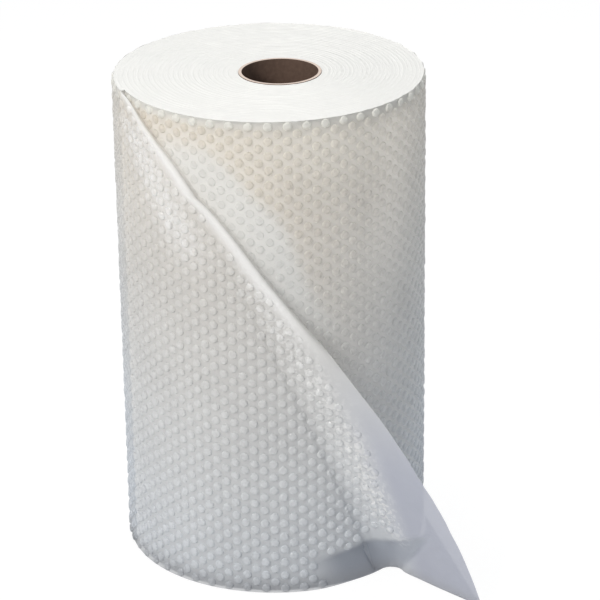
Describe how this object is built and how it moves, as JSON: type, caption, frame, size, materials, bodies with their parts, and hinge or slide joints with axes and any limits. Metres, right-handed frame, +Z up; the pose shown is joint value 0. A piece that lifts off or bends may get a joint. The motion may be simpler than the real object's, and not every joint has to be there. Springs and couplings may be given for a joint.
{
  "type": "bubble wrap roll",
  "caption": "Standing roll of small-bubble wrap on a cardboard core, its slant-cut free end peeling off the front and trailing on the floor.",
  "frame": {"origin": "centre of the core's bottom end, on the axis of its bore; the roll's own middle lies 10.5 mm from it, towards -X and a little to the back", "axes": "+Z up the core's axis; -Y is the front, where the free end peels off the roll; +X is the side to which it trails"},
  "size_m": [0.3598, 0.3537, 0.5],
  "materials": {
    "core_card": "matte",
    "bubble_film": "translucent gloss"
  },
  "bodies": {
    "root": {"core_tube": "core_card", "bubble_web": "bubble_film"}
  },
  "joints": []
}
